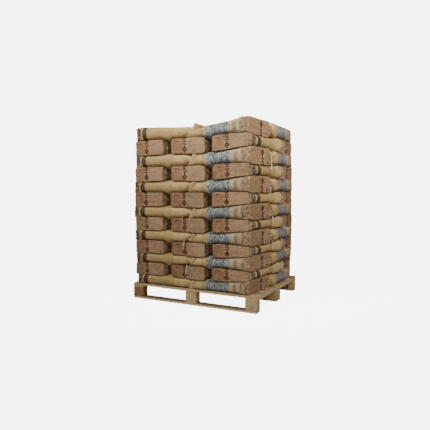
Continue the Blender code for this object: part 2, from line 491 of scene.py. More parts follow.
def ring_outline(half_width, half_height, squareness):
    """AROUND points at equal steps along a rounded rectangle, from the middle of its lower side."""
    angle = np.linspace(0, 2 * math.pi, 4000, endpoint=False) - math.pi / 2
    y = half_width * np.sign(np.cos(angle)) * np.abs(np.cos(angle)) ** (2 / squareness)
    z = half_height * np.sign(np.sin(angle)) * np.abs(np.sin(angle)) ** (2 / squareness)
    steps = np.hypot(np.diff(y, append=y[0]), np.diff(z, append=z[0]))
    way = np.concatenate([[0.0], np.cumsum(steps)])
    wanted = np.arange(AROUND) / AROUND * way[-1]
    return np.interp(wanted, way, np.append(y, y[0])), np.interp(wanted, way, np.append(z, z[0]))


def ring_part(number):
    """Part of the length at which a ring lies: closer together at both ends."""
    part = number / RINGS
    return part - 0.05 * math.sin(2 * math.pi * part)


def bottom_grid():
    """Point numbers of the grid over the bottom end. Its rim is the first ring."""
    low_right = ACROSS // 2
    high_left = low_right + UP + ACROSS
    low_left = high_left + UP
    grid = {}
    for column in range(ACROSS + 1):
        grid[column, 0] = (low_left + column) % AROUND
        grid[column, UP] = high_left - column
    for row in range(1, UP):
        grid[0, row] = low_left - row
        grid[ACROSS, row] = low_right + row
    inner = (RINGS + 1) * AROUND
    for column in range(1, ACROSS):
        for row in range(1, UP):
            grid[column, row] = inner
            inner += 1
    return grid


def sack_points(seed):
    """Points of the slack sack, with the sewn end already gathered into pleats."""
    wobble = np.random.default_rng(seed).uniform(0, 2 * math.pi, 4)
    rings = []
    for number in range(RINGS + 1):
        part = ring_part(number)
        grow = smooth_step(0.0, 0.30, part)
        taper = smooth_step(TAPER_START, FLANGE_START, part)
        flange = smooth_step(FLANGE_START - 0.01, 1.0, part)
        width = END_HALF_WIDTH + (SACK_HALF_WIDTH - END_HALF_WIDTH) * grow
        width -= (SACK_HALF_WIDTH - SEAM_HALF_WIDTH) * taper
        share = SLACK_HEIGHT + (GATHERED_HEIGHT - SLACK_HEIGHT) * taper
        height = SACK_THICKNESS / 2 * share * (1 - FLANGE_PRESSED * flange)
        square_off = SQUARE_END_ONLY * smooth_step(0.0, 0.2, part) + TAPER_ROUNDS * taper
        y, z = ring_outline(width, height, SQUARENESS - square_off)
        pleats = PLEAT_DEPTH * smooth_step(TAPER_START, 0.93, part) * (1 - 0.8 * flange)
        waves = np.sin(y * PLEAT_WAVES[0] + wobble[0]) + 0.6 * np.sin(y * PLEAT_WAVES[1] + wobble[1])
        z = z + pleats * waves
        ripple = np.sin(np.arange(AROUND) * 2 * math.pi / AROUND * RIPPLES_AROUND + wobble[2])
        x = part * SACK_LENGTH + RIM_RIPPLE * ripple * (1 - grow)
        rings.append(np.stack([x, y, SACK_THICKNESS / 2 + z], 1))
    points = np.concatenate(rings)
    grid = bottom_grid()
    inner = []
    for column in range(1, ACROSS):
        for row in range(1, UP):
            s, t = column / ACROSS, row / UP
            low, high = points[grid[column, 0]], points[grid[column, UP]]
            left, right = points[grid[0, row]], points[grid[ACROSS, row]]
            corners = ((1 - s) * (1 - t) * points[grid[0, 0]] + s * (1 - t) * points[grid[ACROSS, 0]]
                       + (1 - s) * t * points[grid[0, UP]] + s * t * points[grid[ACROSS, UP]])
            inner.append((1 - t) * low + t * high + (1 - s) * left + s * right - corners)
    return np.concatenate([points, np.array(inner)])


def sack_faces():
    """The faces, and for each the number of the finish that it takes."""
    faces, finishes = [], []
    tape_ring = next(number for number in range(RINGS) if ring_part(number) > 0.975)
    for number in range(RINGS):
        for place in range(AROUND):
            after = (place + 1) % AROUND
            near, far = number * AROUND, (number + 1) * AROUND
            faces.append((near + place, near + after, far + after, far + place))
            finishes.append(2 if number >= tape_ring else 0)
    grid = bottom_grid()
    for column in range(ACROSS):
        for row in range(UP):
            faces.append((grid[column, row], grid[column, row + 1], grid[column + 1, row + 1],
                          grid[column + 1, row]))
            finishes.append(1)
    last, quarter = RINGS * AROUND, AROUND // 4
    for place in range(-quarter, quarter):
        corners = (place, place + 1, 2 * quarter - place - 1, 2 * quarter - place)
        faces.append(tuple(dict.fromkeys(last + corner % AROUND for corner in corners)))
        finishes.append(2)
    return faces, finishes


FACES, FINISHES = sack_faces()
print("one sack:", len(sack_points(1)), "points,", len(FACES), "faces")

# %% [markdown]
# ## Filling the sacks
# What makes a sack look full is the strain in its paper: flat where it lies on its neighbours, round
# at the sides, with creases that run to the pleats and to the corners of the bottom end. Blender's
# Cloth does that by itself. The slack sack lies between two plates, pressure pushes it out, and its
# paper is a little larger than the shape, most at the sewn end, so it has to wrinkle. The bottom rim
# and the seam are held, because folds and stitches hold them on the real sack. Four different sacks are
# enough, because each also comes turned over and mirrored.

# %% Fill the sacks
FILL_FRAMES = 24
LARGEST_MOVE = 0.034
PLATE_SKIN = 0.001
RIM_HOLD, RIM_HOLD_FADE, END_HOLD, SEAM_HOLD = 0.9, 1.5, 0.5, 0.95
PAPER = {"quality": 5, "mass": 0.3, "tension_stiffness": 15, "compression_stiffness": 15,
         "shear_stiffness": 5, "bending_stiffness": 0.5, "use_pressure": True,
         "uniform_pressure_force": 2.6, "shrink_min": -0.12, "shrink_max": -0.035,
         "vertex_group_shrink": "tight", "vertex_group_mass": "held"}


def held_points(sack, name, weights):
    group = sack.vertex_groups.new(name=name)
    for point, weight in enumerate(weights):
        if weight > 0.0:
            group.add([point], float(weight), "REPLACE")


def filled_sack(seed):
    """The points of one sack after the pressure has filled it between two plates."""
    slack = sack_points(seed)
    mesh = bpy.data.meshes.new("slack sack")
    mesh.from_pydata(slack.tolist(), [], FACES)
    sack = new_object("slack sack", mesh)
    held = np.zeros(len(slack))
    held[:AROUND] = 1.0
    for number in range(1, HELD_RINGS):
        hold = RIM_HOLD * (1 - number / HELD_RINGS) ** RIM_HOLD_FADE
        held[number * AROUND:(number + 1) * AROUND] = hold
    held[(RINGS + 1) * AROUND:] = END_HOLD
    held[RINGS * AROUND:(RINGS + 1) * AROUND] = SEAM_HOLD
    held_points(sack, "held", held)
    held_points(sack, "tight", 1 - smooth_step(TAPER_START - 0.06, 0.95, slack[:, 0] / SACK_LENGTH))
    plates = [square("plate", 1, 0.8) for side in range(2)]
    for plate, height, flip in zip(plates, (-PLATE_SKIN, SACK_THICKNESS + PLATE_SKIN), (0.0, math.pi)):
        plate.location = (SACK_LENGTH / 2, 0.0, height)
        plate.rotation_euler.x = flip
        plate.modifiers.new("plate", "COLLISION")
        plate.collision.thickness_outer = PLATE_SKIN
    cloth = sack.modifiers.new("filling", "CLOTH")
    for key, value in PAPER.items():
        setattr(cloth.settings, key, value)
    cloth.settings.effector_weights.gravity = 0
    cloth.collision_settings.use_self_collision = False
    cloth.collision_settings.distance_min = PLATE_SKIN
    for frame_number in range(1, FILL_FRAMES + 1):
        bpy.context.scene.frame_set(frame_number)
    filled = bpy.data.meshes.new_from_object(
        sack.evaluated_get(bpy.context.evaluated_depsgraph_get()))
    for thing in (sack, *plates):
        bpy.data.objects.remove(thing)
    points = np.zeros(len(slack) * 3)
    filled.vertices.foreach_get("co", points)
    move = points.reshape(-1, 3) - slack
    length = np.maximum(np.linalg.norm(move, axis=1, keepdims=True), 1e-9)
    return slack + move * np.minimum(1.0, LARGEST_MOVE / length), filled


# A lengthwise sack tapers to its seam, a crosswise one is full, wide and square almost up to it.
FULL_UNTIL = (TAPER_START + 0.06, 0.985)
LEVEL_FADE = 0.14
SQUARER_OVER = (0.66, 0.88)
SQUARER_WIDTH = 0.008


def levelled(points, crosswise):
    """Presses the filled sack level, exactly to the planes of the plates, up to where it tapers."""
    points = points.copy()
    inner = points[(RINGS + 1) * AROUND:, 2]
    full_until = FULL_UNTIL[crosswise]
    for number in range(RINGS + 1):
        across, height = points[number * AROUND:(number + 1) * AROUND, 1:].T
        low, high = height.min(), height.max()
        if number == 0:
            inner[:] = (inner - low) / (high - low) * SACK_THICKNESS
        if crosswise:
            squarer = smooth_step(*SQUARER_OVER, ring_part(number))
            half = np.abs(across).max()
            new_half = half + (SACK_HALF_WIDTH + SQUARER_WIDTH - half) * squarer
            across[:] = np.sign(across) * new_half * (np.abs(across) / half) ** (1 - 0.5 * squarer)
        wanted = 1 - smooth_step(full_until - LEVEL_FADE, full_until, ring_part(number))
        height += ((height - low) / (high - low) * SACK_THICKNESS - height) * wanted
    return points


def outward(points, mesh):
    """The outward direction at each point of a mesh that has those points."""
    mesh.vertices.foreach_set("co", points.ravel())
    mesh.update()
    directions = np.zeros(len(points) * 3)
    mesh.vertex_normals.foreach_get("vector", directions)
    return directions.reshape(-1, 3)


SACK_KINDS = []
for seed in (1, 2, 3, 4):
    points, mesh = filled_sack(seed)
    kinds = [levelled(points, crosswise) for crosswise in (0, 1)]
    SACK_KINDS.append([(kind, outward(kind, mesh)) for kind in kinds])
    bpy.data.meshes.remove(mesh)
    print("sack", seed, "filled to", (points.max(0) - points.min(0)).round(3).tolist(), "m")
bpy.context.scene.frame_set(1)

# %% [markdown]
# ## Where two layers meet
# The stack is not a set of flat slices. A bottom end stands taller than the side of a sack, so each
# joint between two layers waves up and down along the edge of the load. Sides of sacks sag into the
# gaps between the ends below them, and the whole load climbs a little towards its right edge. One
# function gives the height of a joint at every place, and both layers take their shape from it, so
# they fit without a gap.

# %% Joints between layers
DECK_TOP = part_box("deck_board_1")[1].z
LAYERS = 13
FIRST_LAYER_HEIGHT = 0.0930
LAYER_HEIGHT_STEP = 0.0022
FRONT_JOINT_WAVE, FLAT_AT_RIGHT = 0.006, 0.9
BACK_RISE = 0.010
CORNER_RISE = (0.006, 0.024)
# depth on a side of the load: how much taller (+) or thinner (-) an odd layer is there, at one joint
LEFT_WAVE = ((-0.50, -0.0065), (-0.34, -0.005), (-0.22, 0.010), (-0.15, 0.0125), (-0.05, 0.0),
             (0.06, -0.010), (0.20, -0.0125), (0.38, -0.0125), (0.48, 0.0))
RIGHT_WAVE = ((-0.52, 0.004), (-0.47, 0.011), (-0.42, 0.013), (-0.16, 0.0125), (-0.08, 0.002),
              (0.05, -0.003), (0.40, -0.004), (0.48, 0.0))
GAPS = (-0.224, 0.168)
GAP_WIDTH = 0.032
SAG, BULGE = 0.020, 0.010
MIDDLE_DIP, MIDDLE_DIP_X, MIDDLE_DIP_WIDTH = 0.008, 0.07, 0.10
FRONT_EDGE, BACK_EDGE = (-0.44, -0.26), (0.22, 0.40)
# the top of the load, along its front: x and how far it lies over or under the plain layer height
TOP_LINE = ((-0.56, 0.002), (-0.50, 0.006), (-0.44, 0.004), (-0.21, -0.012), (-0.02, -0.022),
            (0.13, -0.022), (0.34, 0.001), (0.46, 0.026), (0.53, 0.026))


def joint_height(number, x, y):
    """Height of the joint over layer `number` at x, y. Joint 0 is the deck."""
    x, y = np.asarray(x, float), np.asarray(y, float)
    height = DECK_TOP + number * FIRST_LAYER_HEIGHT + LAYER_HEIGHT_STEP * number * (number - 1) / 2
    if number == 0:
        return np.full(x.shape, height)
    sign = 1 if number % 2 else -1
    depth = np.clip(y / 0.5, -1.1, 1.1)
    wave = FRONT_JOINT_WAVE * depth * (1 - FLAT_AT_RIGHT * smooth_step(0.2, 0.5, x))
    side_wave = np.where(x > 0, np.interp(y, *zip(*RIGHT_WAVE)), np.interp(y, *zip(*LEFT_WAVE)))
    wave = wave + (side_wave - wave) * smooth_step(0.30, 0.53, np.abs(x))
    share = number / LAYERS
    rise = CORNER_RISE[0] + (CORNER_RISE[1] - CORNER_RISE[0]) * share ** 1.5
    height = height + BACK_RISE * share ** 2 * (depth + 1) / 2
    if number == LAYERS:
        return height + np.interp(x, *zip(*TOP_LINE))
    height = height + rise * smooth_step(0.12, 0.50, x) + sign * wave
    near_gap = sum(np.exp(-((x - gap) / GAP_WIDTH) ** 2) for gap in GAPS)
    front = 1 - smooth_step(*FRONT_EDGE, y)
    back = smooth_step(*BACK_EDGE, y)
    bulging, sagging = (front, back) if sign > 0 else (back, front)
    dip = MIDDLE_DIP * np.exp(-((x - MIDDLE_DIP_X) / MIDDLE_DIP_WIDTH) ** 2) * bulging
    return height + near_gap * (BULGE * bulging - SAG * sagging) - dip


for number in (0, 1, 2, 12, 13):
    print("joint", number, "at the front:", round(float(joint_height(number, -0.45, -0.49)), 4), "m")

# %% [markdown]
# ## Where each sack lies
# In an odd layer two sacks lie lengthwise at the front and three crosswise behind them. Every bottom
# end looks outward. An even layer is the same, turned half round. The small shifts of each sack are
# random, with a fixed seed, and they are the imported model's own.

# %% Places of the sacks
SACK_WIDTH = 0.384
CROSSWISE_CENTRES = (0.392, 0.017, -0.376)
FRONT_FACE_Y = -0.496
LOAD_HALF_LENGTH = 0.545
CROSSWISE_BACK_SHIFT = 0.004
LENGTHWISE_BACK_SHIFT = 0.020
ROW_OVERLAP = 0.018
MID_HEIGHT_SPREAD = 0.014
UNEVENNESS = 0.003


def layer_places(number):
    """For each of the five sacks of a layer: its origin, heading and width."""
    shakes = random.Random(100 + number)
    sway = shakes.uniform(-1, 1) * UNEVENNESS - 0.010
    spread = MID_HEIGHT_SPREAD * math.sin(math.pi * (number - 0.5) / LAYERS)
    half = LOAD_HALF_LENGTH - MID_HEIGHT_SPREAD / 2 + spread
    side_row = FRONT_FACE_Y + SACK_WIDTH / 2
    back_row = FRONT_FACE_Y + SACK_WIDTH + SACK_LENGTH - ROW_OVERLAP
    turned = number % 2 == 0
    lengthwise_shift = -LENGTHWISE_BACK_SHIFT if turned else 0.0
    crosswise_shift = 0.0 if turned else CROSSWISE_BACK_SHIFT
    places = [((lengthwise_shift - half, side_row), (1, 0)),
              ((lengthwise_shift + half, side_row), (-1, 0))]
    for step, centre in enumerate(CROSSWISE_CENTRES):
        places.append(((centre + spread * (1 - step / 2) + crosswise_shift, back_row), (0, -1)))
    if turned:
        middle = (FRONT_FACE_Y + back_row) / 2
        places = [((-x, 2 * middle - y), (-dx, -dy)) for (x, y), (dx, dy) in places]
    found = []
    for (x, y), heading in places:
        shift = shakes.uniform(-1, 1) * UNEVENNESS / 3
        inward = shakes.uniform(0, 1) * UNEVENNESS
        width = SACK_WIDTH / 2 + shakes.uniform(0, UNEVENNESS) / 2
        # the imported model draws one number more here
        shakes.uniform(-1, 1)
        origin = (x + sway + heading[0] * inward + abs(heading[1]) * shift, y + heading[1] * inward)
        found.append((origin, heading, width))
    return found


print(sum(len(layer_places(number)) for number in range(1, LAYERS + 1)), "sacks in", LAYERS, "layers")

# %% [markdown]
# ## Laying a sack
# A filled sack is bent into its own place: its flat lower side follows the joint below and its upper
# side the joint above. Dents and creases are pushed into the free sides with noise, so no two sacks
# look alike. The paper keeps its own coordinates, in metres along, across and up the sack, and the
# prints follow those, not the room. A few sacks are not quite straight: the front sack at the left
# reaches out in the middle layers, the one at the right has a slanting end, and in the even layers the
# rear one at the right spreads its sewn corner. At two corners of the load the lower side of a layer
# presses a few millimetres into the layer below, so no daylight shows between the rounded sacks.

# %% Lay one sack
TOUCH_GAP = 0.0004
DENT, CREASE = 0.0040, 0.0022
CORNER_FULLNESS = 0.80
LEFT_END_NARROWER = 0.10
LENGTHWISE_END_WIDER = 0.18
LEFT_END_REACH = 0.024
RIGHT_END_SKEW = 0.024
SEWN_CORNER_OUT = 0.030
CORNER_OVERLAP = 0.007
LEFT_OVERLAP_FROM = ((-0.42, -0.54), (-0.46, -0.56))
SEAM_SHIFT = 0.12
TOP_DOME = 0.010


def dents(points, seed):
    """How far each point of a sack is pushed out, in metres."""
    away = Vector((seed * 3.1, seed * 1.7, seed * 0.9))
    pushes = np.empty(len(points))
    for place, (x, y, z) in enumerate(points.tolist()):
        broad = noise.noise(Vector((x * 7.0, y * 7.0, z * 11.0)) + away)
        slant = Vector((x * 15.0 + z * 24.0, y * 17.0 + z * 12.0, z * 20.0 - x * 8.0)) + away
        ridge = 1.0 - 2.2 * abs(noise.noise(slant))
        pushes[place] = DENT * broad + CREASE * ridge
    return pushes


def lay_sack(number, place, origin, heading, width):
    """Points of one sack in the load, the paper coordinates of its points, and if it is mirrored."""
    kind, directions = SACK_KINDS[(number * 3 + place * 2) % len(SACK_KINDS)][abs(heading[1])]
    points, directions = kind.copy(), directions.copy()
    mirrored, turned = (number + place) % 2 == 1, (number // 2 + place) % 2 == 1
    flips = np.array([1.0, -1.0 if mirrored != turned else 1.0, -1.0 if turned else 1.0])
    points[:, 1] *= flips[1]
    if turned:
        points[:, 2] = SACK_THICKNESS - points[:, 2]
    directions *= flips
    on_top = number == LAYERS
    free = 1 - (0.35 if on_top else 1.0) * np.abs(directions[:, 2])
    paper = points.copy()
    points += directions * (dents(points, number * 7 + place) * free)[:, None]
    part = points[:, 0] / SACK_LENGTH
    x = points[:, 0] * (FOLDED_LENGTH / SACK_LENGTH if heading[0] else 1.0)
    y = points[:, 1] * width / SACK_HALF_WIDTH
    near_end = 1 - smooth_step(0.0, 0.3, part)
    if place == 2:
        y = y + (END_HALF_WIDTH - y) * LEFT_END_NARROWER * near_end
    if heading[0]:
        y = y * (1 + LENGTHWISE_END_WIDER * near_end)
    if number % 2 and place == 0:
        x = x - LEFT_END_REACH * math.sin(math.pi * (number - 0.5) / LAYERS) * (1 - part)
    if number % 2 == 0 and place == 4:
        y = y - SEWN_CORNER_OUT * smooth_step(0.66, 0.92, part) * np.clip(-y / SACK_HALF_WIDTH, 0, 1)
    if number % 2 and place == 1:
        x = x - RIGHT_END_SKEW * (1 - part) * (0.5 - y / (2 * END_HALF_WIDTH))
    room_x = origin[0] + x * heading[0] - y * heading[1]
    room_y = origin[1] + x * heading[1] + y * heading[0]
    low = joint_height(number - 1, room_x, room_y) + TOUCH_GAP
    high = joint_height(number, room_x, room_y) - TOUCH_GAP
    if number > 1:
        left_start, left_full = LEFT_OVERLAP_FROM[number % 2]
        left_corner = smooth_step(left_start, left_full, room_x) * smooth_step(-0.20, -0.40, room_y)
        right_corner = smooth_step(0.42, 0.54, room_x) * smooth_step(0.20, 0.40, room_y)
        low = low - CORNER_OVERLAP * (left_corner + right_corner)
    lift = 2 * points[:, 2] / SACK_THICKNESS - 1
    lift = 0.5 + 0.5 * np.sign(lift) * np.abs(lift) ** CORNER_FULLNESS
    if heading[0]:
        lift = lift + SEAM_SHIFT * (1 if place == 0 else -1) * smooth_step(0.80, 1.0, part)
    height = low + (high - low) * lift
    if on_top:
        dome = 1 - np.clip(np.abs(points[:, 1]) / SACK_HALF_WIDTH, 0, 1) ** 2.5
        height += TOP_DOME * dome * lift * np.sin(np.clip(part, 0, 1) * math.pi) ** 0.5
    return np.column_stack([room_x, room_y, height]), paper, mirrored


print("dents up to", DENT, "m, creases up to", CREASE, "m")

# %% [markdown]
# ## Paper, close up
# Kraft paper is brown, a little cloudy and full of short fibres. On a sack it is also crumpled: soft
# folds a hand wide, and fine sharp creases between them. This group draws both on any brown paper
# here. The crumple comes from the distance to the edges of irregular cells, bent by noise.

# %% Node group: kraft paper
KRAFT_INPUTS = {"Place": "Vector", "Color": "Color", "Tone": "Float", "Dust": "Float"}
kraft, (place, base, tone, dust) = new_group("kraft paper", KRAFT_INPUTS, SURFACE)
cloud = place.noise(6.0, 5.0, 0.6)
fibres = place.scaled(140.0, 520.0, 520.0).noise(1.0, 3.0, 0.7)
bent = place.bent(0.09, place.noise(9.0, 3.0, output="Color"))
fold = bent.cells(17.0, "DISTANCE_TO_EDGE").step_up(0.0, 0.16)
small_fold = bent.cells(46.0, "DISTANCE_TO_EDGE").step_up(0.0, 0.2)
shade = tone * 0.22 + cloud * 0.28 + fibres * 0.14 + 0.67
colour = base.painted(1.0, shade, "MULTIPLY")
colour = colour.painted((1.0 - fold) * dust, paint(190, 164, 118))
powder = place.noise(3.1, 6.0, 0.68).step_up(0.50, 0.72) * dust
colour = colour.painted(powder, paint(184, 166, 134))
crumple = fold * 0.45 + small_fold * 0.16 + place.noise(24.0, 4.0, 0.55) * 0.9 + fibres * 0.05
end_group(kraft, Color=colour, Roughness=fibres * 0.18 + 0.62, Height=crumple)

# %% [markdown]
# ## Prints on the sacks
# The real sacks carry printed fields. The fields keep their size, place and colour here, and what fills
# them is generic: loose brush strokes at the bottom end, a pale and a dark band on one side, a mottled
# field and a small plain label on the other. There is no lettering. The field is blue on the front sacks
# of the odd layers, which lie the other way up, and violet-grey on all others. The bottom end has a
# reddish field with flecks, a column of small plain marks and the edges of the pasted patch. All of it
# is drawn from the paper coordinates, in metres: along the sack from the bottom end, across it, and up.

# %% Sizes of the prints
HALF_THICKNESS = SACK_THICKNESS / 2
STROKES_END_RIGHT, STROKES_END_LEFT = 0.086, 0.078
STROKES_DENSE_FROM = (0.044, 0.052)
THIN_BAND = (0.086, 0.099)
PALE_BAND = (0.099, 0.113)
DARK_BAND = (0.113, 0.166)
SEWN_PART = 0.462
LABEL_ALONG, LABEL_UP = (0.112, 0.144), (0.026, 0.080)
BLUE_FIELD = (0.187, 0.412)
TICKS_PER_METRE = (78.0, 10.0, 36.0)
CREASES_PER_METRE = (13.0, 9.0, 22.0)
PRINT_INPUTS = {"Place": "Vector", "Seed": "Float", "Turned over": "Float"}
PRINT_OUTPUTS = {"Color": "Color", "Ink": "Float", "Fold": "Float"}
print("mottled field from", BLUE_FIELD[0], "to", BLUE_FIELD[1], "m along the sack")

# %% [markdown]
# The side print is laid down like real ink, from the paper up: first the paler paper of the sewn part
# and its short folds, with painted shade in their creases, then the brush strokes, the bands, the label
# and the mottled field with its ticks.
# The ticks crowd towards the upper and lower edge of a side, and they are few on the flat faces.

# %% Node group: prints on the side
side_print, (place, seed, over) = new_group("prints on the side", PRINT_INPUTS, PRINT_OUTPUTS)
along, across, up = place.split()
spot = place.moved(seed, seed)
right_side = across.step_up(0.02, -0.02)
left_side = 1.0 - right_side
paler = along.step_up(SEWN_PART, SEWN_PART + 0.004) * 0.7
colour = paler.between(paint(158, 130, 81), paint(184, 152, 102))
beside_label = along.step_up(BLUE_FIELD[0] + 0.002, BLUE_FIELD[0]) * left_side
colour = colour.painted(beside_label * 0.75, paint(164, 142, 112))
crease_spot = spot.scaled(*CREASES_PER_METRE, turn=(0.0, 0.7, 0.0))
crease_spot = crease_spot.bent(0.9, spot.noise(18.0, output="Color"))
creases = crease_spot.cells(1.0, "DISTANCE_TO_EDGE").step_up(0.075, 0.0)
creases = creases * along.step_up(SEWN_PART - 0.03, SEWN_PART + 0.02)
creases = creases * spot.noise(18.0).step_up(0.46, 0.60)
# painted shade: the short creases of the sewn part are painted darker, as the shade in them
colour = colour.painted(creases * 0.5, paint(116, 90, 56))
denser = right_side * along.step_up(*STROKES_DENSE_FROM)
lines = spot.noise(44.0, 2.5, 0.6, 1.2)
stroke_end = left_side * (STROKES_END_LEFT - STROKES_END_RIGHT) + STROKES_END_RIGHT
stroke_field = (stroke_end - along).step_up(-0.004, 0.004)
strokes = (abs(lines - 0.5) - denser * 0.05).step_up(0.100, 0.055) * stroke_field
colour = colour.painted(stroke_field, paint(172, 142, 102))
colour = colour.painted(strokes * (denser * 0.20 + 0.72), paint(66, 46, 34))
print("ground, creases and strokes:", len(side_print.nodes), "nodes")

# %% Bands and label on the side
bow = (up - HALF_THICKNESS) * 18.0
bow = bow * bow * 0.018
bowed, bowed_back = along - bow, bow * 0.5 + along
colour = colour.painted(bowed.band(*THIN_BAND, 0.002) * right_side * 0.7, paint(70, 46, 26))
colour = colour.painted(bowed.band(*PALE_BAND, 0.002) * right_side * 0.7, paint(188, 164, 120))
dark = bowed.step_up(DARK_BAND[0] - 0.002, DARK_BAND[0] + 0.002) * right_side
dark = dark * bowed_back.step_up(DARK_BAND[1] + 0.002, DARK_BAND[1] - 0.002)
colour = colour.painted(dark * 0.97, paint(60, 43, 25))
ruled = spot.new("TexWave", {"bands_direction": "Z"}, "Fac", Vector=spot, Scale=60.0)
label = along.band(*LABEL_ALONG, 0.0015) * up.band(*LABEL_UP, 0.0015) * left_side
colour = colour.painted(label * (ruled * 0.5 + 0.35), paint(80, 66, 48))
print("with bands and label:", len(side_print.nodes), "nodes")

# %% Mottled field on the side
swirl = spot.noise(52.0, 3.0, 0.65, 1.2)
mottled = swirl.step_up(0.40, 0.60).between(over.between(paint(96, 90, 100), paint(82, 98, 108)),
                                            over.between(paint(140, 132, 134), paint(128, 134, 132)))
mottled = mottled.painted(abs(swirl - 0.55).step_up(0.026, 0.010), paint(164, 166, 150))
off_middle = abs(up - HALF_THICKNESS)
flat_face = off_middle.step_up(HALF_THICKNESS - 0.012, HALF_THICKNESS - 0.003)
tick_size = off_middle.maths("MINIMUM", off_middle, 0.036) * 6.5 - flat_face * 0.28 + 0.28
tick_far = spot.scaled(*TICKS_PER_METRE).cells(randomness=0.9)
ticked = tick_far.maths("LESS_THAN", tick_far, tick_size)
tick_paint = up.step_up(0.03, 0.06).between(paint(44, 54, 72), paint(50, 44, 42))
mottled = mottled.painted(ticked * 0.85, tick_paint)
blue = along.band(*BLUE_FIELD, 0.0015) * left_side
colour = colour.painted(blue * 0.94, mottled)
inked = blue.maths("MAXIMUM", blue, dark)
inked = inked.maths("MAXIMUM", inked, strokes)
folds = along.step_up(SEWN_PART, SEWN_PART + 0.003) - creases * 1.6
end_group(side_print, Color=colour, Ink=inked, Fold=folds)

# %% [markdown]
# The bottom end is drawn as someone sees it who stands in front of it: `seen` runs from 0 at the left to
# 1 at the right, `up` in metres. A sack that lies the other way up shows its end upside down, and its
# reddish field lies on the right, weaker than on the others.

# %% Node group: prints on the bottom end
RED_FIELD = (-0.10, 0.37)
OTHER_RED_FIELD = (0.46, 1.10)
MARK_COLUMN = 0.415
PATCH_EDGE = 0.375
end_print, (place, seed, over) = new_group("prints on the bottom end", PRINT_INPUTS, PRINT_OUTPUTS)
spot = place.moved(seed, seed)
upright = 1.0 - over
along, across, up = place.split()
across = across * (upright - over)
up = up + over * (SACK_THICKNESS - up - up)
seen = 0.5 - across * (1 / (2 * END_HALF_WIDTH))


def block_at(low_seen, high_seen, low_up, high_up):
    return seen.band(low_seen, high_seen, 0.004) * up.band(low_up, high_up, 0.0015)


colour = spot.scaled(6.0, 6.0, 90.0).noise(1.0, 4.0, 0.6).step_up(0.38, 0.64).between(
    paint(148, 117, 87), paint(130, 101, 73))
red = seen.band(*RED_FIELD, 0.004) * upright + seen.band(*OTHER_RED_FIELD, 0.004) * over
colour = colour.painted(red * (0.85 - over * 0.5), paint(122, 88, 60))
specks = spot.cells(70.0).step_up(0.34, 0.24) * spot.noise(26.0, 1.0).step_up(0.50, 0.56)
colour = colour.painted(specks * (red * 0.8 + 0.2) * 0.6, paint(92, 56, 38))
colour = colour.painted(block_at(MARK_COLUMN - 0.075, MARK_COLUMN + 0.095, -0.01, 0.12) * 0.55,
                        paint(160, 116, 72))
colour = colour.painted(block_at(PATCH_EDGE - 0.018, PATCH_EDGE - 0.004, 0.05, 0.12) * 0.4,
                        paint(188, 160, 122))
print("ground of the bottom end:", len(end_print.nodes), "nodes")

# %% Marks on the bottom end
# three short bars one above the other, a square turned on its corner under them, a small ring beside it
BARS = ((0.091, 0.112), (0.073, 0.086), (0.058, 0.068))
SQUARE_UP, RING_SEEN, RING_UP = 0.033, 0.20, 0.036
marks = block_at(0.115, 0.235, 0.079, 0.086)
for low, high in BARS:
    marks = marks.maths("MAXIMUM", marks, block_at(MARK_COLUMN - 0.058, MARK_COLUMN + 0.055, low, high))
corner_far = abs(seen - MARK_COLUMN) * (2 * END_HALF_WIDTH) + abs(up - SQUARE_UP)
marks = marks.maths("MAXIMUM", marks, corner_far.band(0.0045, 0.0260, 0.0015))
sideways, upwards = (seen - RING_SEEN) * (2 * END_HALF_WIDTH), up - RING_UP
ring_far = sideways.maths("SQRT", sideways * sideways + upwards * upwards)
colour = colour.painted(ring_far.band(0.0085, 0.0125, 0.0012) * 0.5, paint(110, 72, 48))
colour = colour.painted(marks * 0.95, paint(54, 28, 16))
patch = seen.step_up(PATCH_EDGE - 0.004, PATCH_EDGE + 0.004) * up.step_up(0.064, 0.058)
corner_fold = (abs(across) * 0.5 + up).step_up(0.158, 0.162)
end_group(end_print, Color=colour, Ink=marks, Fold=patch + corner_fold)

# %% [markdown]
# ## Three papers on one sack
# The tube, the bottom end and the tape over the seam are three papers, so each sack has three
# materials. They share the groups above. The tape is crepe paper, lighter and with fine ribs across.

# %% Sack materials


def paper_material(name, recipe, relief):
    material, shader, room = new_material(name)
    where = room.new("Attribute", {"attribute_name": "paper_place"}, "Vector")
    tone = room.new("Attribute", {"attribute_name": "sack_tone"}, "Fac")
    base, ink, fold = recipe(where, tone)
    paper = add_node(material.node_tree, "ShaderNodeGroup", {"node_tree": kraft}, Place=room, Color=base,
                     Tone=tone, Dust=0.15 - ink * 0.12)
    height = fold * 0.35 + Wire(paper.outputs["Height"])
    set_inputs(shader, Base_Color=paper.outputs["Color"], Specular_IOR_Level=0.3,
               Roughness=Wire(paper.outputs["Roughness"]) - ink * 0.04, Normal=height.bump(relief, 0.004))
    return material


def printed(group):
    """The recipe of a printed paper: one of the print groups, read with the sack's own coordinates."""
    def recipe(where, tone):
        over = where.new("Attribute", {"attribute_name": "end_turned"}, "Fac")
        print_node = add_node(where.socket.id_data, "ShaderNodeGroup", {"node_tree": group}, Place=where,
                              Seed=tone * 7.0, Turned_over=over)
        return [Wire(print_node.outputs[title]) for title in PRINT_OUTPUTS]
    return recipe


def crepe_tape(where, tone):
    ribs = where.ribs("Y")
    return ribs.between(paint(180, 160, 122), paint(160, 140, 104)), 0.0, ribs


SACK_PAPERS = (paper_material("printed kraft paper", printed(side_print), 0.55),
               paper_material("bottom end paper", printed(end_print), 0.50),
               paper_material("crepe tape", crepe_tape, 0.35))
print("papers:", [paper.name for paper in SACK_PAPERS])
